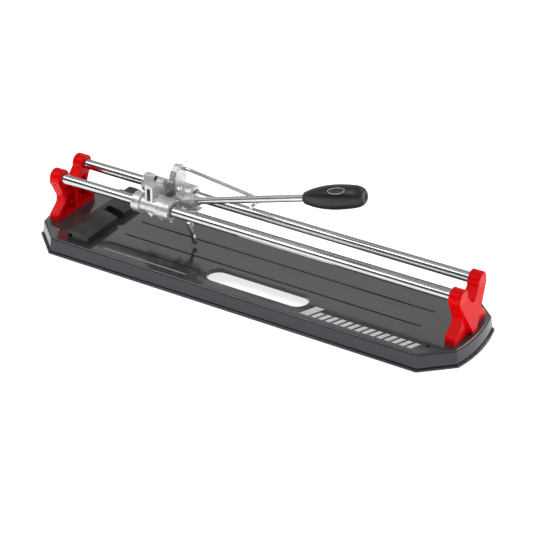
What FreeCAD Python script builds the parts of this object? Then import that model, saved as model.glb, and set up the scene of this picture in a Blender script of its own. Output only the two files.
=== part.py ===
import FreeCAD, Part
import math
import os

# Manual tile cutter with a 500 mm scoring stroke.
# Millimetres, +Z up, +X along the rods, origin at the bottom centre of the base.
# Each named piece is written to its own STEP file.

V = FreeCAD.Vector
AX = V(1, 0, 0)
AY = V(0, 1, 0)
AZ = V(0, 0, 1)

# ---- driving dimensions: base -------------------------------------------------
deck_z = 24.5            # height of the tile deck
sheet = 1.5              # thickness of the pressed sheet
lip_z = 0.8              # underside of the bottom lip
lip_top = 4.0            # top of the bottom lip
deck_half_len = 331.0    # deck half length at the corner chamfers
deck_bow = 6.5           # how far the rounded ends bulge past the chamfers
deck_half_wid = 86.5     # deck half width
cham_x = 39.0            # corner chamfer along the length
cham_y = 36.0            # corner chamfer across the width
skirt_draft = 2.6        # outward lean of the skirt at the lip
lip_reach = 5.2          # lip edge measured out from the deck outline
slot_x = (-50.0, 108.0)  # hand slot along the length
slot_y = (-67.0, -33.0)  # hand slot across the width
panel_x = (-219.0, -67.0)  # recessed panel beside the hand slot, along the length
panel_y = (-69.5, -53.0)  # the same panel, across the width
panel_rim = 4.0          # width of the raised rim round the panel
bead_x = (-210.0, 266.0)  # stiffening beads along the length
bead_y = 20.5
bead_w = 10.0
bead_h = 1.1
hole_x = 295.0           # corner fixing holes
hole_y = 60.0
hole_r = 4.0
foot_x = 262.0           # rubber feet
foot_y = 68.0
foot_r = 8.0
stop_x = (-270.0, -235.0)  # tile stop along the length
stop_y = 76.0            # tile stop half width
stop_rise = (14.6, 15.4, 13.6, 10.0)  # top heights from the outer edge to the tile edge
notch_y = (-3.0, 12.0)   # notch in the stop round the scoring line
stop_screw_x = -256.0
stop_screw_y = 48.0

# ---- driving dimensions: rods and end supports ----------------------------------
rod_r = 7.25
rod_y = 27.2
rod_z = 87.6
rod_half = 319.0
sup_in = 309.0           # inner face of each support
sup_out = 326.0          # outer face of each support
shield_x = 331.5         # foot of the outward leaning shield
boss_r = 12.8
sup_screw_x = 317.0
sup_screw_y = 33.5

# ---- driving dimensions: carriage and lever ------------------------------------
front_sleeve = (-183.5, -122.5)
rear_sleeve = (-203.0, -120.5)
ring_r = 14.5            # collars at the sleeve ends
waist_r = 11.8           # sleeve between the collars
bush_r = 9.97
bore_r = 10.0
bush_len = 16.0
piv_x = -134.0           # lever pivot
piv_z = 87.3
lever_deg = 17.2         # lever slope at rest
pin_r = 3.98
shank_u = 11.0           # scoring shank position along the lever
wheel_v = -62.0          # wheel centre below the lever axis
wheel_r = 4.0
rod_u = (20.0, 292.0)
lever_r = 5.0
grip_u = 216.5
cap_u = 299.0            # joint between grip and cap
grip_profile = (         # distance from the grip's inner end, and radius there
    (0.0, 7.0), (1.5, 8.4), (5.0, 9.8), (12.0, 12.0), (22.0, 14.3), (33.0, 16.0),
    (45.0, 16.9), (57.0, 17.0), (68.0, 16.5), (78.0, 15.6), (86.0, 14.2), (91.0, 12.0),
    (94.0, 9.2), (94.8, 7.4),
)
yoke_top = 74.5          # top of the breaker yoke
yoke_screw_x = (-172.0, -158.0)
rest_r = 2.6             # lever rest wire
rest_y = 34.0
rest_z = 121.5
rest_bend_x = -132.0
rest_hook_x = -8.0


# ---- helpers ---------------------------------------------------------------------
def box(x0, x1, y0, y1, z0, z1):
    return Part.makeBox(x1 - x0, y1 - y0, z1 - z0, V(x0, y0, z0))


def rod(radius, start, axis, length):
    return Part.makeCylinder(radius, length, start, axis)


def along_x(radius, x0, x1, y, z):
    return rod(radius, V(x0, y, z), AX, x1 - x0)


def along_y(radius, y0, y1, x, z):
    return rod(radius, V(x, y0, z), AY, y1 - y0)


def along_z(radius, z0, z1, x, y):
    return rod(radius, V(x, y, z0), AZ, z1 - z0)


def fuse(shapes):
    whole = shapes[0].multiFuse(shapes[1:])
    return whole.removeSplitter()


def polygon(points):
    return Part.Wire(Part.makePolygon(points + [points[0]]))


def prism(points, depth):
    return Part.Face(polygon(points)).extrude(depth)


def mirror_x(shape):
    return shape.mirror(V(0, 0, 0), AX)


def mirror_y(shape):
    return shape.mirror(V(0, 0, 0), AY)


def hexagon(flats, start, axis, length):
    # Hexagonal prism, flats across, standing on start and running along axis.
    reach = flats / math.sqrt(3)
    points = []
    for k in range(6):
        turn = math.radians(60 * k)
        points.append(V(reach * math.cos(turn), reach * math.sin(turn), 0))
    solid = prism(points, V(0, 0, length))
    solid.Placement = FreeCAD.Placement(start, FreeCAD.Rotation(AZ, axis))
    return solid


def edges_where(shape, test):
    return [e for e in shape.Edges if test(e.BoundBox)]


def outline(grow, z):
    # Closed outline of the base: straight sides, chamfered corners, bowed ends.
    wid = deck_half_wid + grow
    end = deck_half_len + grow * 0.95
    in_x = deck_half_len - cham_x + grow * 0.35
    in_y = deck_half_wid - cham_y + grow * 0.45
    tip = deck_half_len + deck_bow + grow
    a = V(-in_x, -wid, z)
    b = V(in_x, -wid, z)
    c = V(end, -in_y, z)
    d = V(end, in_y, z)
    e = V(in_x, wid, z)
    f = V(-in_x, wid, z)
    g = V(-end, in_y, z)
    h = V(-end, -in_y, z)
    edges = [
        Part.makeLine(a, b),
        Part.makeLine(b, c),
        Part.Arc(c, V(tip, 0, z), d).toShape(),
        Part.makeLine(d, e),
        Part.makeLine(e, f),
        Part.makeLine(f, g),
        Part.Arc(g, V(-tip, 0, z), h).toShape(),
        Part.makeLine(h, a),
    ]
    return Part.Wire(edges)


def stadium(x0, x1, y0, y1, z):
    r = (y1 - y0) / 2
    m = (y0 + y1) / 2
    edges = [
        Part.makeLine(V(x0 + r, y0, z), V(x1 - r, y0, z)),
        Part.Arc(V(x1 - r, y0, z), V(x1, m, z), V(x1 - r, y1, z)).toShape(),
        Part.makeLine(V(x1 - r, y1, z), V(x0 + r, y1, z)),
        Part.Arc(V(x0 + r, y1, z), V(x0, m, z), V(x0 + r, y0, z)).toShape(),
    ]
    return Part.Wire(edges)


def raised(x_span, y_span, z0, z1, taper):
    # Stadium-shaped frustum between two levels; taper is the inset at z1.
    low = stadium(x_span[0], x_span[1], y_span[0], y_span[1], z0)
    high = stadium(x_span[0] + taper, x_span[1] - taper, y_span[0] + taper, y_span[1] - taper, z1)
    return Part.makeLoft([low, high], True, True)


# ---- base --------------------------------------------------------------------
def make_base_pan():
    outer = Part.makeLoft([outline(skirt_draft, lip_z), outline(0, deck_z)], True, True)
    rim = edges_where(outer, lambda b: b.ZMin > deck_z - 0.01)
    outer = outer.makeFillet(3.0, rim)
    hollow = [outline(skirt_draft - sheet, lip_z - 2), outline(-sheet, deck_z - sheet)]
    inner = Part.makeLoft(hollow, True, True)
    rim = edges_where(inner, lambda b: b.ZMin > deck_z - sheet - 0.01)
    inner = inner.makeFillet(1.6, rim)
    lip = Part.Face(outline(lip_reach, lip_z)).extrude(V(0, 0, lip_top - lip_z))
    lip = lip.makeFillet(1.4, edges_where(lip, lambda b: b.ZMin > lip_top - 0.01))
    shell = outer.fuse(lip)
    for side in (-1, 1):
        span = (side * bead_y - bead_w / 2, side * bead_y + bead_w / 2)
        shell = shell.fuse(raised(bead_x, span, deck_z - 0.5, deck_z + bead_h, 2.9))
    rim_x = (panel_x[0] - panel_rim, panel_x[1] + panel_rim)
    rim_y = (panel_y[0] - panel_rim, panel_y[1] + panel_rim)
    shell = shell.fuse(raised(rim_x, rim_y, deck_z - 0.5, deck_z + 1.0, 1.6))
    shell = shell.cut(inner)
    shell = shell.cut(raised(panel_x, panel_y, deck_z + 1.6, deck_z - 0.3, 1.2))
    for side in (-1, 1):
        span = (side * bead_y - bead_w / 2 + 1.4, side * bead_y + bead_w / 2 - 1.4)
        trim_x = (bead_x[0] + 1.4, bead_x[1] - 1.4)
        shell = shell.cut(raised(trim_x, span, deck_z - sheet - 0.5, deck_z - sheet + bead_h - 0.1, 2.2))
    shell = shell.cut(Part.Face(stadium(slot_x[0], slot_x[1], slot_y[0], slot_y[1], 10)).extrude(V(0, 0, 30)))
    curl = stadium(slot_x[0] - sheet, slot_x[1] + sheet, slot_y[0] - sheet, slot_y[1] + sheet, deck_z - 6)
    hole = stadium(slot_x[0], slot_x[1], slot_y[0], slot_y[1], deck_z - 7)
    collar = Part.Face(curl).extrude(V(0, 0, 5.5)).cut(Part.Face(hole).extrude(V(0, 0, 8)))
    shell = shell.fuse(collar)
    mouth = edges_where(shell, lambda b: abs(b.ZMax - deck_z) < 0.01 and abs(b.ZMin - deck_z) < 0.01
                        and b.XMin > slot_x[0] - 0.1 and b.XMax < slot_x[1] + 0.1
                        and b.YMin > slot_y[0] - 0.1 and b.YMax < slot_y[1] + 0.1)
    shell = shell.makeFillet(1.0, mouth)
    for sx in (-1, 1):
        for sy in (-1, 1):
            shell = shell.cut(along_z(hole_r, 15, 30, sx * hole_x, sy * hole_y))
            shell = shell.cut(along_z(3.4, 15, 30, sx * sup_screw_x, sy * sup_screw_y))
    for sy in (-1, 1):
        shell = shell.cut(along_z(2.6, 15, 30, stop_screw_x, sy * stop_screw_y))
    return shell.removeSplitter()


def make_rubber_feet():
    feet = []
    for sx in (-1, 1):
        for sy in (-1, 1):
            foot = Part.makeCone(foot_r - 1.0, foot_r, deck_z - sheet, V(sx * foot_x, sy * foot_y, 0), AZ)
            foot = foot.makeFillet(1.0, edges_where(foot, lambda b: b.ZMax < 0.01))
            groove = along_z(foot_r + 2, 4.0, 5.6, sx * foot_x, sy * foot_y)
            core = along_z(foot_r - 1.6, 3.0, 7.0, sx * foot_x, sy * foot_y)
            feet.append(foot.cut(groove.cut(core)))
    return Part.makeCompound(feet)


# ---- tile stop ---------------------------------------------------------------
def make_tile_stop():
    z0 = deck_z
    wide = stop_x[1] - stop_x[0]
    crest = [V(stop_x[0] + wide * k / 3, -stop_y, z0 + stop_rise[k]) for k in range(4)]
    curve = Part.BSplineCurve()
    curve.interpolate(crest)
    outer = V(stop_x[0], -stop_y, z0)
    inner = V(stop_x[1], -stop_y, z0)
    edges = [
        Part.makeLine(outer, crest[0]),
        curve.toShape(),
        Part.makeLine(crest[3], inner),
        Part.makeLine(inner, outer),
    ]
    body = Part.Face(Part.Wire(edges)).extrude(V(0, 2 * stop_y, 0))
    top = edges_where(body, lambda b: b.ZMin > z0 + stop_rise[3] - 0.1)
    body = body.makeFillet(1.2, top)
    body = body.cut(box(stop_x[0] + 10, stop_x[1] + 1, notch_y[0], notch_y[1], z0 - 1, z0 + 30))
    body = body.cut(box(stop_x[0] - 1, stop_x[0] + 14, stop_y - 11, stop_y + 1, z0 - 1, z0 + 9))
    window = box(stop_x[0] + 1.5, stop_x[0] + 8.5, -stop_y - 1, -stop_y + 16, z0 + 3.5, z0 + 10)
    body = body.cut(window)
    for sy in (-1, 1):
        body = body.cut(along_z(2.02, z0 - 1, z0 + 9, stop_screw_x, sy * stop_screw_y))
    return body


def make_stop_screws():
    screws = []
    for sy in (-1, 1):
        y = sy * stop_screw_y
        shank = along_z(2.0, deck_z - sheet, deck_z + 8, stop_screw_x, y)
        head = along_z(4.2, deck_z - sheet - 2.6, deck_z - sheet, stop_screw_x, y)
        slot_a = box(stop_screw_x - 0.5, stop_screw_x + 0.5, y - 2.4, y + 2.4, deck_z - 5, deck_z - 2.9)
        slot_b = box(stop_screw_x - 2.4, stop_screw_x + 2.4, y - 0.5, y + 0.5, deck_z - 5, deck_z - 2.9)
        screws.append(shank.fuse(head).cut(slot_a).cut(slot_b))
    return Part.makeCompound(screws)


# ---- end supports and rods -----------------------------------------------------
def mirrored_outline(half, x):
    # Closed outline in the plane at x from its +Y half, listed from the bottom up.
    right = [V(x, y, z) for y, z in half]
    left = [V(x, -y, z) for y, z in reversed(half)]
    return right + left


def make_shield():
    # Plate on the outer face that narrows from the rod bosses to a tip on the deck.
    inset = 3.6
    half = [
        (5.0, deck_z), (6.5, 30.0), (39.5, 84.0), (27.2, rod_z),
        (15.4, 84.0), (10.8, 78.5), (3.5, 70.5),
    ]
    plate = prism(mirrored_outline(half, sup_out - inset), V(shield_x - sup_out + inset, 0, 0))
    outside = [
        V(sup_out, -60, 82.0), V(sup_out, -60, 110.0), V(sup_out + 20, -60, 110.0),
        V(sup_out + 20, -60, deck_z - 5), V(shield_x, -60, deck_z - 5), V(shield_x, -60, 32.0),
    ]
    return plate.cut(prism(outside, V(0, 120, 0)))


def make_right_support():
    thick = sup_out - sup_in
    trunk_half = [
        (43.5, deck_z), (44.0, 34.5), (27.0, 48.5), (26.0, 56.0),
        (39.1, 83.0), (27.2, rod_z), (15.4, 84.0), (10.8, 78.5), (3.5, 70.5),
    ]
    body = prism(mirrored_outline(trunk_half, sup_in), V(thick - 1.2, 0, 0))
    foot_edges = edges_where(body, lambda b: b.XMin > sup_out - 1.3 and 24.6 < b.ZMax < 50 and b.ZMin > 24.6)
    body = body.makeFillet(1.5, foot_edges)
    for sy in (-1, 1):
        boss = along_x(boss_r, sup_in, sup_out, sy * rod_y, rod_z)
        boss = boss.makeFillet(3.0, edges_where(boss, lambda b: b.XMin > sup_out - 0.01))
        body = body.fuse(boss)
    body = body.removeSplitter()
    rim = edges_where(body, lambda b: b.XMax < sup_in + 0.01 and b.ZMax > deck_z + 0.1)
    body = body.makeFillet(0.8, rim)
    body = body.fuse(make_shield()).removeSplitter()
    depth = thick - 5.0
    pocket_half = [
        (3.0, deck_z + 5), (36.0, deck_z + 5), (36.5, 33.0), (22.0, 45.0),
        (20.5, 56.0), (28.0, 72.0), (15.0, 72.0), (3.0, 60.0),
    ]
    pocket = prism([V(sup_in - 1, y, z) for y, z in pocket_half], V(depth + 1, 0, 0))
    body = body.cut(pocket).cut(mirror_y(pocket))
    for sy in (-1, 1):
        lug = along_z(5.6, deck_z, 36.5, sup_screw_x, sy * sup_screw_y)
        body = body.fuse(lug.common(box(sup_in, sup_out - 1.2, -60, 60, 0, 100)))
        body = body.fuse(along_x(3.2, sup_in + 1.0, sup_out - 3, sy * 17.0, 60.0))
        body = body.fuse(along_x(3.2, sup_in + 1.0, sup_out - 3, sy * 11.0, 42.0))
    for sy in (-1, 1):
        body = body.cut(along_x(rod_r + 0.03, sup_in - 1, rod_half + 0.2, sy * rod_y, rod_z))
        body = body.cut(along_z(3.02, deck_z - 1, 36.0, sup_screw_x, sy * sup_screw_y))
        body = body.cut(set_screw_bore(sy))
    return body.removeSplitter()


def set_screw_axis(sy):
    return V(0, sy * math.sin(math.radians(55)), -math.cos(math.radians(55)))


def set_screw_bore(sy):
    axis = set_screw_axis(sy)
    start = V(sup_screw_x, sy * rod_y, rod_z) + axis * 5.0
    return rod(2.52, start, axis, 20)


def make_set_screws():
    screws = []
    for sx in (-1, 1):
        for sy in (-1, 1):
            axis = set_screw_axis(sy)
            start = V(sup_screw_x, sy * rod_y, rod_z) + axis * (rod_r + 0.02)
            screw = rod(2.5, start, axis, 5.0)
            socket = hexagon(2.4, start + axis * 3.0, axis, 3)
            screw = screw.cut(socket)
            if sx < 0:
                screw = mirror_x(screw)
            screws.append(screw)
    return Part.makeCompound(screws)


def make_rod(y):
    bar = along_x(rod_r, -rod_half, rod_half, y, rod_z)
    ends = edges_where(bar, lambda b: b.XLength < 0.01)
    return bar.makeChamfer(0.8, ends)


def make_support_screws():
    screws = []
    under = deck_z - sheet - 1.2
    for sx in (-1, 1):
        for sy in (-1, 1):
            x = sx * sup_screw_x
            y = sy * sup_screw_y
            shank = along_z(3.0, under, 35.0, x, y)
            head = hexagon(10.0, V(x, y, under), V(0, 0, -1), 4.0)
            screws.append(shank.fuse(head))
    return Part.makeCompound(screws)


def make_support_washers():
    washers = []
    top = deck_z - sheet
    for sx in (-1, 1):
        for sy in (-1, 1):
            x = sx * sup_screw_x
            y = sy * sup_screw_y
            washers.append(along_z(7.0, top - 1.2, top, x, y).cut(along_z(3.2, top - 2, top + 1, x, y)))
    return Part.makeCompound(washers)


# ---- carriage ----------------------------------------------------------------
def make_sleeves():
    front = -rod_y
    rear_end = along_x(ring_r, -150.0, rear_sleeve[1], rod_y, rod_z)
    rear_end = rear_end.makeFillet(2.6, edges_where(rear_end, lambda b: b.XMin > rear_sleeve[1] - 0.01))
    front_end = along_x(ring_r, -145.0, front_sleeve[1], front, rod_z)
    front_end = front_end.makeFillet(1.6, edges_where(front_end, lambda b: b.XMin > front_sleeve[1] - 0.01))
    return [
        along_x(ring_r, front_sleeve[0], front_sleeve[0] + 12, front, rod_z),
        along_x(waist_r, front_sleeve[0] + 11, -144.0, front, rod_z),
        front_end,
        along_x(ring_r - 0.5, rear_sleeve[0], rear_sleeve[0] + 6, rod_y, rod_z),
        along_x(waist_r + 0.4, rear_sleeve[0] + 5, -149.0, rod_y, rod_z),
        rear_end,
    ]


def make_near_ear():
    # Upright lug over the front sleeve; its top falls toward the far side.
    side = [
        V(-162, -36, 88), V(-162, -36, 121.5), V(-162, -14, 117.5),
        V(-162, -8, 114.5), V(-162, -6, 109), V(-162, -6, 88),
    ]
    ear = prism(side, V(12, 0, 0))
    ear = ear.makeFillet(2.5, edges_where(ear, lambda b: b.XLength > 11.9 and b.ZMin > 108))
    ear = ear.makeFillet(1.0, edges_where(ear, lambda b: b.XMin > -150.1 and b.ZMax > 100))
    return ear.cut(box(-159.2, -153.2, -37, -14, 98, 117))


def make_far_ear():
    crown = [
        V(-152, 9.5, 88), V(-152, 9.5, 117), V(-152, 13.5, 125.5), V(-152, 21, 130.5),
        V(-152, 29, 130), V(-152, 36, 123), V(-152, 38.5, 110), V(-152, 38.5, 88),
    ]
    ear = prism(crown, V(10, 0, 0))
    ear = ear.makeFillet(3.0, edges_where(ear, lambda b: b.XLength > 9.9 and b.ZMin > 109))
    return ear.makeFillet(0.8, edges_where(ear, lambda b: b.XMin > -142.1 and b.ZMax > 100))


def make_rear_block():
    # Square block on the near side of the rear sleeve, with a cross hole.
    side = [
        V(-198, 13.5, 88), V(-198, 13.5, 107.5), V(-198, 20.5, 107.5), V(-198, 31, 99), V(-198, 31, 88),
    ]
    block = prism(side, V(14, 0, 0))
    return block.makeFillet(1.2, edges_where(block, lambda b: b.XLength > 13.9 and b.ZMin > 98))


def make_carriage():
    parts = make_sleeves()
    parts.append(box(-180, -150, -22, 22, 74.7, 96))
    for sy in (-1, 1):
        near = min(sy * 9.1, sy * 19)
        far = max(sy * 9.1, sy * 19)
        parts.append(box(-151, -122.6, near, far, 78, 97))
    parts.append(make_near_ear())
    parts.append(make_far_ear())
    parts.append(make_rear_block())
    middle = box(-165, -154, -4, 6.5, 90, 114.5)
    parts.append(middle.makeFillet(2.5, edges_where(middle, lambda b: b.XLength > 10.9 and b.ZMin > 114)))
    # Web out to the far ear; its front part is set back to clear the shank nut when the lever is up.
    parts.append(box(-165, -153, 5.5, 12, 90, 109.5))
    parts.append(box(-153.5, -145.5, 7.2, 12, 90, 109.5))
    parts.append(prism([V(-160, -37, 82), V(-147, -37, 82), V(-152, -37, 74.9)], V(0, 12, 0)))
    body = fuse(parts)
    body = body.cut(along_x(bore_r, -220, -100, -rod_y, rod_z))
    body = body.cut(along_x(bore_r, -220, -100, rod_y, rod_z))
    body = body.cut(along_x(4.0, -196, -183, 22.0, 100.2))
    body = body.cut(along_y(pin_r + 0.04, -16.6, 60, piv_x, piv_z))
    body = body.cut(rod(rest_r + 0.07, V(-150.6, rest_y, rest_z), AX, 12))
    body = body.cut(along_z(1.52, rest_z, 140, -147, rest_y))
    for x in yoke_screw_x:
        body = body.cut(along_z(2.02, 70, 83, x, 0))
    return body.removeSplitter()


def make_bushes(y, span):
    bushes = []
    for x0 in (span[0], span[1] - bush_len):
        sleeve = along_x(bush_r, x0, x0 + bush_len, y, rod_z)
        bushes.append(sleeve.cut(along_x(rod_r + 0.06, x0 - 1, x0 + bush_len + 1, y, rod_z)))
    return Part.makeCompound(bushes)


def make_breaker_yoke():
    parts = [box(-178, -149, -19, 19, yoke_top - 3, yoke_top)]
    for sy in (-1, 1):
        near = min(sy * 13.5, sy * 21.5)
        far = max(sy * 13.5, sy * 21.5)
        parts.append(box(-151, -126.5, near, far, yoke_top - 4, yoke_top - 1.3))
        for x in (-149.5, -134):
            toe = prism([V(x, near, yoke_top - 3), V(x + 7.4, near, yoke_top - 3),
                         V(x + 5.6, near, 65.2), V(x + 2.4, near, 65.2)], V(0, far - near, 0))
            parts.append(toe)
    body = fuse(parts)
    for x in yoke_screw_x:
        body = body.cut(along_z(2.3, 60, 80, x, 0))
    return body


def make_yoke_screws():
    screws = []
    for x in yoke_screw_x:
        shank = along_z(2.0, yoke_top - 3, 82, x, 0)
        head = along_z(4.0, yoke_top - 6, yoke_top - 3, x, 0)
        head = head.makeFillet(0.8, edges_where(head, lambda b: b.ZMax < yoke_top - 5.9))
        socket = hexagon(3.0, V(x, 0, yoke_top - 7), AZ, 3)
        screws.append(shank.fuse(head).cut(socket))
    return Part.makeCompound(screws)


# ---- lever -------------------------------------------------------------------
def on_lever(shape):
    # Moves a piece drawn with the pivot at the origin and the lever along +X.
    lever_turn = FreeCAD.Placement(V(piv_x, 0, piv_z), FreeCAD.Rotation(AY, -lever_deg))
    placed = shape.copy()
    placed.Placement = lever_turn.multiply(placed.Placement)
    return placed


def make_lever_head():
    hub = along_y(9.0, -8.0, 8.0, 0, 0)
    neck = box(0, 12, -8, 8, -8.4, 8.4)
    socket = along_x(8.4, 10, 36, 0, 0)
    socket = socket.makeFillet(1.0, edges_where(socket, lambda b: b.XMin > 35.9))
    barrel = along_x(10.2, 16.5, 32.5, 0, 0)
    barrel = barrel.makeFillet(1.4, edges_where(barrel, lambda b: b.XLength < 0.01))
    collar = along_z(7.6, -16, 10.6, shank_u, 0)
    plate = box(9, 36.5, -6.5, 6.5, -14.0, -11.4)
    web = box(10, 34, -3, 3, -12, -5)
    body = fuse([hub, neck, socket, barrel, collar, plate, web])
    body = body.cut(along_y(pin_r + 0.05, -20, 20, 0, 0))
    body = body.cut(along_x(lever_r + 0.02, rod_u[0], 60, 0, 0))
    body = body.cut(along_z(4.03, -30, 30, shank_u, 0))
    return on_lever(body)


def make_lever_rod():
    bar = along_x(lever_r, rod_u[0], rod_u[1], 0, 0)
    bar = bar.makeChamfer(0.6, edges_where(bar, lambda b: b.XLength < 0.01))
    return on_lever(bar)


def make_lock_nut():
    nut = hexagon(13.0, V(36.0, 0, 0), AX, 4.2)
    round_off = Part.makeCone(8.2, 6.4, 4.2, V(36.0, 0, 0), AX)
    nut = nut.common(round_off).cut(along_x(lever_r + 0.02, 30, 50, 0, 0))
    return on_lever(nut)


def make_grip_blank():
    points = [V(grip_u + u, 0, r) for u, r in grip_profile]
    curve = Part.BSplineCurve()
    curve.interpolate(points)
    start = V(grip_u, 0, 0)
    end = V(points[-1].x, 0, 0)
    wire = Part.Wire([
        Part.makeLine(start, points[0]),
        curve.toShape(),
        Part.makeLine(points[-1], end),
        Part.makeLine(end, start),
    ])
    return Part.Face(wire).revolve(V(0, 0, 0), AX, 360)


def make_grip():
    blank = make_grip_blank()
    body = blank.common(box(grip_u - 5, cap_u, -30, 30, -30, 30))
    ring = Part.makeTorus(16.0, 0.9, V(cap_u, 0, 0), AX)
    body = body.cut(ring)
    body = body.cut(along_x(lever_r + 0.02, grip_u - 5, rod_u[1] + 0.3, 0, 0))
    body = body.cut(along_x(4.1, rod_u[1], cap_u + 1, 0, 0))
    return on_lever(body)


def make_grip_cap():
    blank = make_grip_blank()
    body = blank.common(box(cap_u, cap_u + 30, -30, 30, -30, 30))
    tip = grip_u + grip_profile[-1][0]
    body = body.cut(Part.makeSphere(14.0, V(tip + 13.2, 0, 0)))
    plug = along_x(4.05, cap_u - 7, cap_u + 1, 0, 0)
    return on_lever(body.fuse(plug).removeSplitter())


def make_shank():
    stud = along_z(4.0, -17, 22, shank_u, 0)
    stud = stud.makeChamfer(0.7, edges_where(stud, lambda b: b.ZMin > 21.9))
    body = along_z(5.7, -32, -16, shank_u, 0)
    taper = Part.makeCone(5.7, 2.9, 20, V(shank_u, 0, -32), V(0, 0, -1))
    tip = box(shank_u - 2.4, shank_u + 2.4, -2.1, 2.1, -64.2, -50)
    whole = fuse([stud, body, taper, tip])
    whole = whole.cut(box(shank_u - 10, shank_u + 10, -0.9, 0.9, -70, -56.5))
    whole = whole.cut(along_y(1.02, -10, 10, shank_u, wheel_v))
    for side in (-1, 1):
        flat = box(shank_u - 10, shank_u + 10, min(side * 4.4, side * 9), max(side * 4.4, side * 9), -30, -20)
        whole = whole.cut(flat)
    return on_lever(whole)


def make_shank_nut():
    nut = hexagon(13.0, V(shank_u, 0, 10.6), AZ, 6.5)
    nut = nut.common(Part.makeCone(9.0, 6.9, 6.5, V(shank_u, 0, 10.6), AZ))
    nut = nut.cut(along_z(4.03, 5, 20, shank_u, 0))
    return on_lever(nut)


def make_wheel():
    half = Part.makeCone(1.9, wheel_r, 0.6, V(shank_u, -0.6, wheel_v), AY)
    disc = half.fuse(mirror_y(half)).removeSplitter()
    return on_lever(disc.cut(along_y(1.05, -5, 5, shank_u, wheel_v)))


def make_wheel_axle():
    pin = along_y(1.0, -2.1, 2.1, shank_u, wheel_v)
    return on_lever(pin)


def make_pivot_pin():
    pin = along_y(pin_r, -16.4, 16.4, piv_x, piv_z)
    return pin.makeChamfer(0.6, edges_where(pin, lambda b: b.YLength < 0.01))


def make_pivot_washers():
    washers = []
    for y0 in (-9.05, 8.05):
        disc = along_y(7.2, y0, y0 + 1.0, piv_x, piv_z)
        washers.append(disc.cut(along_y(pin_r + 0.05, y0 - 1, y0 + 2, piv_x, piv_z)))
    return Part.makeCompound(washers)


# ---- lever rest ----------------------------------------------------------------
def wire_through(points, radius):
    pieces = []
    for a, b in zip(points, points[1:]):
        pieces.append(rod(radius, a, b - a, (b - a).Length))
    for p in points[1:-1]:
        pieces.append(Part.makeSphere(radius, p))
    return fuse(pieces)


def make_lever_rest():
    slope = math.radians(lever_deg)
    lever_low = piv_z + (rest_hook_x - piv_x) * math.tan(slope)
    under = lever_low - lever_r / math.cos(slope) - rest_r - 0.5
    path = [
        V(-150.5, rest_y, rest_z),
        V(rest_bend_x, rest_y, rest_z),
        V(rest_hook_x - 5, 9.4, under + 6.5),
        V(rest_hook_x + 1, 9.2, under),
        V(rest_hook_x + 1, -8.0, under),
    ]
    return wire_through(path, rest_r)


def make_rest_screw():
    return along_z(1.5, rest_z + rest_r + 0.02, 127.5, -147, rest_y)


# ---- write the pieces --------------------------------------------------------
os.makedirs("parts", exist_ok=True)
right_support = make_right_support()
pieces = {
    "base_pan": make_base_pan(),
    "rubber_feet": make_rubber_feet(),
    "tile_stop": make_tile_stop(),
    "tile_stop_screws": make_stop_screws(),
    "right_support": right_support,
    "left_support": mirror_x(right_support),
    "support_screws": make_support_screws(),
    "support_washers": make_support_washers(),
    "rod_set_screws": make_set_screws(),
    "front_rod": make_rod(-rod_y),
    "rear_rod": make_rod(rod_y),
    "carriage_body": make_carriage(),
    "front_bushes": make_bushes(-rod_y, front_sleeve),
    "rear_bushes": make_bushes(rod_y, rear_sleeve),
    "breaker_yoke": make_breaker_yoke(),
    "breaker_screws": make_yoke_screws(),
    "pivot_pin": make_pivot_pin(),
    "pivot_washers": make_pivot_washers(),
    "lever_rest": make_lever_rest(),
    "lever_rest_screw": make_rest_screw(),
    "lever_head": make_lever_head(),
    "lever_rod": make_lever_rod(),
    "lever_lock_nut": make_lock_nut(),
    "handle_grip": make_grip(),
    "grip_cap": make_grip_cap(),
    "scoring_shank": make_shank(),
    "shank_nut": make_shank_nut(),
    "scoring_wheel": make_wheel(),
    "wheel_axle": make_wheel_axle(),
}
for name, shape in pieces.items():
    shape.exportStep("parts/" + name + ".step")
    print(name, len(shape.Solids), round(shape.Volume, 1), shape.isValid())
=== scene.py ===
import math

import bpy
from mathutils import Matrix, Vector


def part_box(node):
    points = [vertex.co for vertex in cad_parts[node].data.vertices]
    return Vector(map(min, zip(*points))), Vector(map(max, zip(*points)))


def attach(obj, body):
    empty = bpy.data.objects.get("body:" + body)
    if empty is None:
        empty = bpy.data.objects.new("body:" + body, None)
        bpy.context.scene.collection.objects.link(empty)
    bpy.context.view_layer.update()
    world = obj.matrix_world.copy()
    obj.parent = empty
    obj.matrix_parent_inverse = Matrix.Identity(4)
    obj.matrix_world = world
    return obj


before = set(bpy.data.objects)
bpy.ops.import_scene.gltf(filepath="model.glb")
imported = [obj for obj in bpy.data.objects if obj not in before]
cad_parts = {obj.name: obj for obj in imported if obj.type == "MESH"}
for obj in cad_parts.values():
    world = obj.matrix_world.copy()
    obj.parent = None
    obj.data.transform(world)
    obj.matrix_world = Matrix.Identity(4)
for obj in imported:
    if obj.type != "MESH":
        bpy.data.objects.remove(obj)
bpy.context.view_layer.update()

# Manual tile cutter: materials, printed trim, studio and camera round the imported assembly.
# Metres, +Z up, +X along the rods toward the handle, origin at the bottom centre of the base.

MM = 0.001
scene = bpy.context.scene


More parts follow.
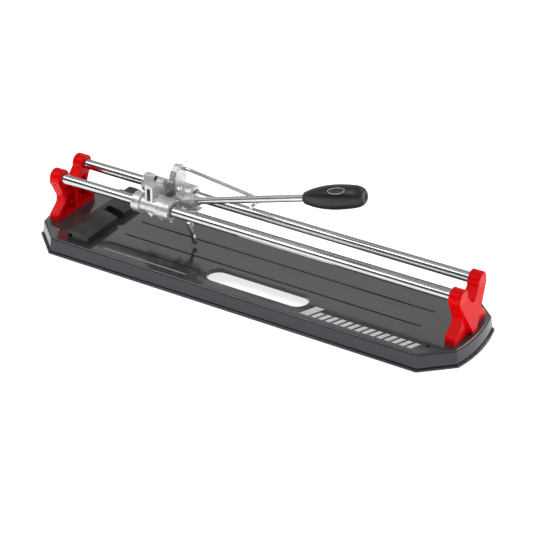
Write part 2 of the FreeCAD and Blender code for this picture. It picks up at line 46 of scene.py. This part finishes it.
# ---- node helpers ------------------------------------------------------------
class Tree:
    """Short names for the nodes that the materials below are made of."""

    def __init__(self, name):
        self.mat = bpy.data.materials.new(name)
        self.mat.use_nodes = True
        self.nodes = self.mat.node_tree.nodes
        self.links = self.mat.node_tree.links
        self.bsdf = self.nodes["Principled BSDF"]
        self.coord = self.nodes.new("ShaderNodeTexCoord")

    def put(self, socket, value):
        if hasattr(value, "is_linked"):
            self.links.new(value, socket)
        else:
            socket.default_value = value

    def where(self, stretch=(1, 1, 1)):
        node = self.nodes.new("ShaderNodeMapping")
        node.inputs["Scale"].default_value = stretch
        self.links.new(self.coord.outputs["Object"], node.inputs["Vector"])
        return node.outputs["Vector"]

    def noise(self, scale, detail=2.0, rough=0.5, stretch=(1, 1, 1)):
        node = self.nodes.new("ShaderNodeTexNoise")
        node.inputs["Scale"].default_value = scale
        node.inputs["Detail"].default_value = detail
        node.inputs["Roughness"].default_value = rough
        self.links.new(self.where(stretch), node.inputs["Vector"])
        return node.outputs["Fac"]

    def cells(self, scale):
        node = self.nodes.new("ShaderNodeTexVoronoi")
        node.inputs["Scale"].default_value = scale
        self.links.new(self.where(), node.inputs["Vector"])
        return node.outputs["Distance"]

    def span(self, value, low, high, to_low=0.0, to_high=1.0):
        node = self.nodes.new("ShaderNodeMapRange")
        node.inputs["From Min"].default_value = low
        node.inputs["From Max"].default_value = high
        node.inputs["To Min"].default_value = to_low
        node.inputs["To Max"].default_value = to_high
        self.links.new(value, node.inputs["Value"])
        return node.outputs["Result"]

    def sums(self, operation, a, b):
        node = self.nodes.new("ShaderNodeMath")
        node.operation = operation
        self.put(node.inputs[0], a)
        self.put(node.inputs[1], b)
        return node.outputs[0]

    def axis(self, letter):
        node = self.nodes.new("ShaderNodeSeparateXYZ")
        self.links.new(self.coord.outputs["Object"], node.inputs[0])
        return node.outputs[letter]

    def blend(self, amount, a, b):
        node = self.nodes.new("ShaderNodeMix")
        node.data_type = "RGBA"
        self.put(node.inputs["Factor"], amount)
        self.put(node.inputs["A"], a)
        self.put(node.inputs["B"], b)
        return node.outputs["Result"]

    def bump(self, height, strength, distance, over=None):
        node = self.nodes.new("ShaderNodeBump")
        node.inputs["Strength"].default_value = strength
        node.inputs["Distance"].default_value = distance
        self.links.new(height, node.inputs["Height"])
        if over is not None:
            self.links.new(over, node.inputs["Normal"])
        return node.outputs["Normal"]

    def finish(self, color, roughness, normal, metallic=0.0, level=0.5):
        self.put(self.bsdf.inputs["Base Color"], color)
        self.put(self.bsdf.inputs["Roughness"], roughness)
        self.links.new(normal, self.bsdf.inputs["Normal"])
        self.bsdf.inputs["Metallic"].default_value = metallic
        self.bsdf.inputs["Specular IOR Level"].default_value = level
        return self.mat


def rgb(r, g, b):
    return (r, g, b, 1.0)


# ---- materials ---------------------------------------------------------------
def paint(name, dark, light, skirt_painted_shade, rough, peel, level):
    """Gloss paint with painted shade on the skirt below the deck: tone drift, orange peel, fine dust
    and hairline marks.
    """
    t = Tree(name)
    tone = t.span(t.noise(9, 3), 0.35, 0.65)
    color = t.blend(tone, dark, light)
    deck_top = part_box("tile_stop")[0][2]
    # Painted shade: below the deck top the skirt gets a darker, bluer colour than the deck.
    color = t.blend(t.span(t.axis("Z"), deck_top - 2 * MM, deck_top - 0.5 * MM), skirt_painted_shade, color)
    dust = t.span(t.noise(2600, 2), 0.70, 0.78, 0.0, 0.22)
    color = t.blend(dust, color, rgb(0.35, 0.36, 0.37))
    smear = t.span(t.noise(26, 4, 0.6), 0.35, 0.7, rough, rough * 1.9)
    marks = t.span(t.noise(380, 1, 0.4, (0.05, 1, 1)), 0.68, 0.72, 0.0, 0.10)
    roughness = t.sums("ADD", smear, marks)
    normal = t.bump(t.noise(420, 2), peel, 0.0006)
    normal = t.bump(t.noise(3200, 1), peel * 0.5, 0.00012, normal)
    return t.finish(color, roughness, normal, level=level)


def cast_paint(name, dark, light):
    """Glossy paint over a rough casting: soft lumps under the gloss."""
    t = Tree(name)
    tone = t.span(t.noise(40, 3), 0.3, 0.7)
    color = t.blend(tone, dark, light)
    chips = t.span(t.noise(900, 3, 0.7), 0.735, 0.76, 0.0, 0.6)
    color = t.blend(chips, color, rgb(0.22, 0.02, 0.02))
    roughness = t.span(t.noise(120, 3), 0.3, 0.75, 0.12, 0.30)
    normal = t.bump(t.noise(230, 3, 0.55), 0.22, 0.0012)
    normal = t.bump(t.noise(1500, 2), 0.12, 0.0002, normal)
    return t.finish(color, roughness, normal, level=0.08)


def cast_metal(name, dark, light):
    """Tumbled cast alloy: pebbled skin, darker pores, brighter rubbed patches."""
    t = Tree(name)
    tone = t.span(t.noise(95, 5, 0.65), 0.32, 0.68)
    color = t.blend(tone, dark, light)
    pores = t.span(t.noise(1300, 3, 0.7), 0.64, 0.72, 0.0, 0.55)
    color = t.blend(pores, color, rgb(0.16, 0.16, 0.165))
    roughness = t.span(t.noise(160, 4, 0.7), 0.3, 0.7, 0.30, 0.52)
    normal = t.bump(t.noise(420, 4, 0.6), 0.35, 0.0009)
    normal = t.bump(t.cells(1900), 0.12, 0.00025, normal)
    return t.finish(color, roughness, normal, metallic=0.88)


def turned_metal(name, dark, light, rough, stretch, grain=0.01):
    """Ground or polished bar: tone drift and fine grinding lines across it."""
    t = Tree(name)
    tone = t.span(t.noise(14, 4, 0.6, stretch), 0.3, 0.7)
    color = t.blend(tone, dark, light)
    stain = t.span(t.noise(70, 3, 0.6), 0.66, 0.80, 0.0, 0.25)
    color = t.blend(stain, color, rgb(0.30, 0.29, 0.28))
    haze = t.span(t.noise(36, 4, 0.6), 0.35, 0.75, rough, rough * 2.4)
    lines = t.span(t.noise(110, 2, 0.5, stretch), 0.35, 0.75, 0.0, 0.015)
    roughness = t.sums("ADD", haze, lines)
    normal = t.bump(t.noise(260, 2, 0.5), grain, 0.00004)
    return t.finish(color, roughness, normal, metallic=1.0)


def moulded(name, dark, light, rough_low, rough_high, grain_scale, grain):
    """Moulded plastic or rubber: pebble grain, slight greying and handling shine."""
    t = Tree(name)
    tone = t.span(t.noise(30, 4, 0.6), 0.3, 0.7)
    color = t.blend(tone, dark, light)
    dust = t.span(t.noise(1800, 2), 0.68, 0.78, 0.0, 0.18)
    color = t.blend(dust, color, rgb(0.25, 0.25, 0.25))
    roughness = t.span(t.noise(45, 3), 0.3, 0.7, rough_low, rough_high)
    normal = t.bump(t.cells(grain_scale), grain, 0.0003)
    normal = t.bump(t.noise(140, 3), 0.10, 0.0007, normal)
    return t.finish(color, roughness, normal)


ACROSS_X = (1, 0.06, 0.06)
# The third colour is painted shade for the skirt below the deck.
deck_paint = paint(
    "deck_paint", rgb(0.042, 0.043, 0.044), rgb(0.052, 0.053, 0.054), rgb(0.002, 0.005, 0.014),
    0.07, 0.03, 0.68,
)
support_red = cast_paint("support_red", rgb(0.84, 0.001, 0.003), rgb(0.96, 0.003, 0.006))
rod_chrome = turned_metal(
    "rod_chrome", rgb(0.55, 0.56, 0.58), rgb(0.66, 0.67, 0.68),
    0.11, ACROSS_X,
)
lever_chrome = turned_metal(
    "lever_chrome", rgb(0.60, 0.60, 0.61), rgb(0.72, 0.72, 0.72),
    0.11, ACROSS_X,
)
cast_alloy = cast_metal("cast_alloy", rgb(0.62, 0.62, 0.62), rgb(0.84, 0.84, 0.84))
zinc_steel = turned_metal(
    "zinc_steel", rgb(0.58, 0.59, 0.61), rgb(0.72, 0.73, 0.74),
    0.16, (1, 1, 1), 0.10,
)
nickel_steel = turned_metal(
    "nickel_steel", rgb(0.80, 0.80, 0.77), rgb(0.90, 0.90, 0.87),
    0.12, (1, 1, 0.1), 0.06,
)
carbide = turned_metal(
    "carbide", rgb(0.28, 0.29, 0.31), rgb(0.42, 0.43, 0.45),
    0.18, (1, 1, 1), 0.2,
)
black_plastic = moulded(
    "black_plastic", rgb(0.020, 0.019, 0.019), rgb(0.044, 0.043, 0.042),
    0.32, 0.56, 1100, 0.30,
)
grip_plastic = moulded(
    "grip_plastic", rgb(0.003, 0.003, 0.0035), rgb(0.007, 0.007, 0.0075),
    0.26, 0.38, 1900, 0.18,
)
cap_plastic = moulded(
    "cap_plastic", rgb(0.010, 0.010, 0.011), rgb(0.020, 0.020, 0.021),
    0.26, 0.42, 1700, 0.20,
)
foot_rubber = moulded(
    "foot_rubber", rgb(0.016, 0.016, 0.016), rgb(0.030, 0.030, 0.029),
    0.72, 0.90, 900, 0.30,
)
bush_plastic = moulded(
    "bush_plastic", rgb(0.16, 0.16, 0.16), rgb(0.24, 0.24, 0.24),
    0.40, 0.55, 1200, 0.12,
)
print_white = moulded(
    "print_white", rgb(0.72, 0.73, 0.74), rgb(0.86, 0.86, 0.86),
    0.34, 0.52, 2200, 0.10,
)

NODE_FINISH = {
    "base_pan": deck_paint,
    "rubber_feet": foot_rubber,
    "tile_stop": black_plastic,
    "tile_stop_screws": zinc_steel,
    "right_support": support_red,
    "left_support": support_red,
    "support_screws": zinc_steel,
    "support_washers": zinc_steel,
    "rod_set_screws": zinc_steel,
    "front_rod": rod_chrome,
    "rear_rod": rod_chrome,
    "carriage_body": cast_alloy,
    "front_bushes": bush_plastic,
    "rear_bushes": bush_plastic,
    "breaker_yoke": cast_alloy,
    "breaker_screws": zinc_steel,
    "pivot_pin": zinc_steel,
    "pivot_washers": zinc_steel,
    "lever_rest": lever_chrome,
    "lever_rest_screw": zinc_steel,
    "lever_head": cast_alloy,
    "lever_rod": lever_chrome,
    "lever_lock_nut": zinc_steel,
    "handle_grip": grip_plastic,
    "grip_cap": cap_plastic,
    "scoring_shank": nickel_steel,
    "shank_nut": zinc_steel,
    "scoring_wheel": carbide,
    "wheel_axle": zinc_steel,
}
for name, material in NODE_FINISH.items():
    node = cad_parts[name]
    if not node.material_slots:
        node.data.materials.append(material)
    for holder in node.material_slots:
        holder.material = material


# ---- mesh helpers ------------------------------------------------------------
def mesh_object(name, verts, faces, material, smooth=False):
    mesh = bpy.data.meshes.new(name)
    mesh.from_pydata([tuple(v) for v in verts], [], faces)
    mesh.update()
    for face in mesh.polygons:
        face.use_smooth = smooth
    piece = bpy.data.objects.new(name, mesh)
    piece.data.materials.append(material)
    scene.collection.objects.link(piece)
    return piece


def slab(outline, z0, z1):
    """Vertices and faces of a flat plate with the given outline."""
    count = len(outline)
    verts = [(x, y, z0) for x, y in outline] + [(x, y, z1) for x, y in outline]
    faces = [tuple(range(count, 2 * count)), tuple(reversed(range(count)))]
    for k in range(count):
        n = (k + 1) % count
        faces.append((k, n, n + count, k + count))
    return verts, faces


# ---- printed bars on the deck ------------------------------------------------
def printed_bars():
    """Row of slanted white bars printed near the front edge; the first is larger."""
    deck_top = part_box("tile_stop")[0][2]
    count, gap, slant = 15, 4 * MM, 0.45
    front = -77 * MM
    print_low, print_high = deck_top + 0.01 * MM, deck_top + 0.08 * MM
    verts, faces = [], []
    x = 111 * MM
    for k in range(count):
        wide = (13 if k == 0 else 7) * MM
        back = (-52 if k == 0 else -62) * MM
        lean = (back - front) * slant
        bar = [(x, front), (x + wide, front), (x + wide + lean, back), (x + lean, back)]
        more, sides = slab(bar, print_low, print_high)
        start = len(verts)
        verts += more
        faces += [tuple(i + start for i in side) for side in sides]
        x += wide + gap
    piece = mesh_object("printed_bars", verts, faces, print_white)
    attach(piece, "base")


printed_bars()


# ---- plain oval rim on the grip ------------------------------------------------
LEVER_SLOPE = math.radians(17.2)
GRIP_RADIUS = 17.0 * MM


def on_grip(along, around, radius):
    """Point at a distance up the lever from its pivot, turned from the top toward -Y."""
    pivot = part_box("pivot_pin")
    pin_x = (pivot[0][0] + pivot[1][0]) / 2
    pin_z = (pivot[0][2] + pivot[1][2]) / 2
    up = radius * math.cos(around)
    x = pin_x + along * math.cos(LEVER_SLOPE) - up * math.sin(LEVER_SLOPE)
    z = pin_z + along * math.sin(LEVER_SLOPE) + up * math.cos(LEVER_SLOPE)
    return Vector((x, -radius * math.sin(around), z))


def grip_oval():
    """Raised oval bead, 26 by 9 mm, moulded on the near upper side of the grip."""
    steps, ring = 64, 10
    half_long, half_wide, bead = 13 * MM, 4.5 * MM, 0.45 * MM
    middle, turn = 276 * MM, math.radians(38)
    verts, faces = [], []
    for k in range(steps):
        t = 2 * math.pi * k / steps
        out_long, out_wide = math.cos(t), math.sin(t)
        for m in range(ring):
            w = 2 * math.pi * m / ring
            swell = bead * math.cos(w)
            along = middle + (half_long + swell) * out_long
            around = turn + (half_wide + swell) * out_wide / GRIP_RADIUS
            verts.append(on_grip(along, around, GRIP_RADIUS - 0.1 * MM + bead * math.sin(w)))
            here, after = k * ring, ((k + 1) % steps) * ring
            faces.append((here + m, after + m, after + (m + 1) % ring, here + (m + 1) % ring))
    piece = mesh_object("grip_oval", verts, faces, zinc_steel, smooth=True)
    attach(piece, "lever")


grip_oval()

# ---- studio ------------------------------------------------------------------
floor_mat = Tree("floor")
grain = floor_mat.noise(3.0, 3)
floor_tone = floor_mat.blend(grain, rgb(0.93, 0.93, 0.93), rgb(0.96, 0.96, 0.96))
floor_mat.finish(floor_tone, 0.6, floor_mat.bump(floor_mat.noise(60, 2), 0.02, 0.0005))
floor_mat.bsdf.inputs["Emission Color"].default_value = rgb(1, 1, 1)
# The floor glows, so that the hand slot reads white, except below the ends of the base,
# where the small fixing holes stay dark.
off_x = floor_mat.sums("ABSOLUTE", floor_mat.axis("X"), 0.0)
off_y = floor_mat.sums("ABSOLUTE", floor_mat.axis("Y"), 0.0)
past_slot = floor_mat.span(off_x, 0.18, 0.20)
under_deck = floor_mat.span(off_y, 0.042, 0.046, 1.0, 0.0)
inside_end = floor_mat.span(off_x, 0.322, 0.326, 1.0, 0.0)
shade = floor_mat.sums("MULTIPLY", floor_mat.sums("MULTIPLY", past_slot, under_deck), inside_end)
FLOOR_GLOW = 0.75
glow = floor_mat.span(shade, 0.0, 1.0, FLOOR_GLOW, 0.0)
floor_mat.put(floor_mat.bsdf.inputs["Emission Strength"], glow)
FLOOR_HALF = 8.0
floor_corners = [(x * FLOOR_HALF, y * FLOOR_HALF, 0) for x, y in ((-1, -1), (1, -1), (1, 1), (-1, 1))]
floor = mesh_object("floor", floor_corners, [(0, 1, 2, 3)], floor_mat.mat)


def studio_world():
    """White dome crossed by grey and dark bands, which give the round bars their stripes."""
    world = bpy.data.worlds.new("studio")
    world.use_nodes = True
    nodes, links = world.node_tree.nodes, world.node_tree.links
    back = nodes["Background"]
    coord = nodes.new("ShaderNodeTexCoord")
    split = nodes.new("ShaderNodeSeparateXYZ")
    links.new(coord.outputs["Generated"], split.inputs[0])
    flip = nodes.new("ShaderNodeMath")
    flip.operation = "MULTIPLY"
    flip.inputs[1].default_value = -1.0
    links.new(split.outputs["Y"], flip.inputs[0])
    angle = nodes.new("ShaderNodeMath")
    angle.operation = "ARCTAN2"
    links.new(split.outputs["Z"], angle.inputs[0])
    links.new(flip.outputs[0], angle.inputs[1])
    share = nodes.new("ShaderNodeMath")
    share.operation = "DIVIDE"
    share.inputs[1].default_value = math.pi
    links.new(angle.outputs[0], share.inputs[0])
    ramp = nodes.new("ShaderNodeValToRGB")
    links.new(share.outputs[0], ramp.inputs["Fac"])
    stops = [
        (0.00, 0.70, 0.70, 0.70), (0.03, 0.80, 0.80, 0.80), (0.05, 0.05, 0.05, 0.05),
        (0.22, 0.05, 0.05, 0.05), (0.25, 0.85, 0.85, 0.85), (0.38, 1.0, 1.0, 1.0),
        (0.42, 0.42, 0.42, 0.42), (0.50, 0.42, 0.42, 0.42), (0.54, 1.0, 1.0, 1.0),
        (0.60, 1.0, 1.0, 1.0), (0.62, 0.14, 0.16, 0.18), (0.73, 0.16, 0.18, 0.20),
        (0.76, 1.0, 1.0, 1.0), (0.87, 1.0, 1.0, 1.0), (0.89, 0.12, 0.12, 0.12),
        (0.98, 0.12, 0.12, 0.12), (1.00, 0.50, 0.50, 0.50),
    ]
    elements = ramp.color_ramp.elements
    while len(elements) < len(stops):
        elements.new(0.5)
    for element, (place, red, green, blue) in zip(elements, stops):
        element.position = place
        element.color = (red, green, blue, 1)
    links.new(ramp.outputs["Color"], back.inputs["Color"])
    back.inputs["Strength"].default_value = 0.85
    scene.world = world


def area_light(name, place, aim, size, energy):
    data = bpy.data.lights.new(name, "AREA")
    data.shape = "RECTANGLE"
    data.size, data.size_y = size
    data.energy = energy
    lamp = bpy.data.objects.new(name, data)
    lamp.location = place
    lamp.rotation_euler = (Vector(aim) - Vector(place)).to_track_quat("-Z", "Y").to_euler()
    scene.collection.objects.link(lamp)


studio_world()
area_light("key", (-1.1, -1.0, 1.9), (0, 0, 0.05), (1.2, 0.8), 10)
area_light("rim", (0.9, 1.5, 1.5), (0, 0, 0.05), (1.6, 0.6), 7)

# ---- camera ------------------------------------------------------------------
CAMERA_PLACE = (1.2452, -2.01271, 1.41067)
CAMERA_TILT, CAMERA_TURN = 59.62, 31.48
camera_data = bpy.data.cameras.new("camera")
camera_data.sensor_width = 36.0
camera_data.lens = 134.25
camera_data.clip_end = 50.0
camera = bpy.data.objects.new("camera", camera_data)
camera.location = CAMERA_PLACE
camera.rotation_euler = (math.radians(CAMERA_TILT), 0.0, math.radians(CAMERA_TURN))
scene.collection.objects.link(camera)
scene.camera = camera
scene.view_settings.view_transform = "Standard"
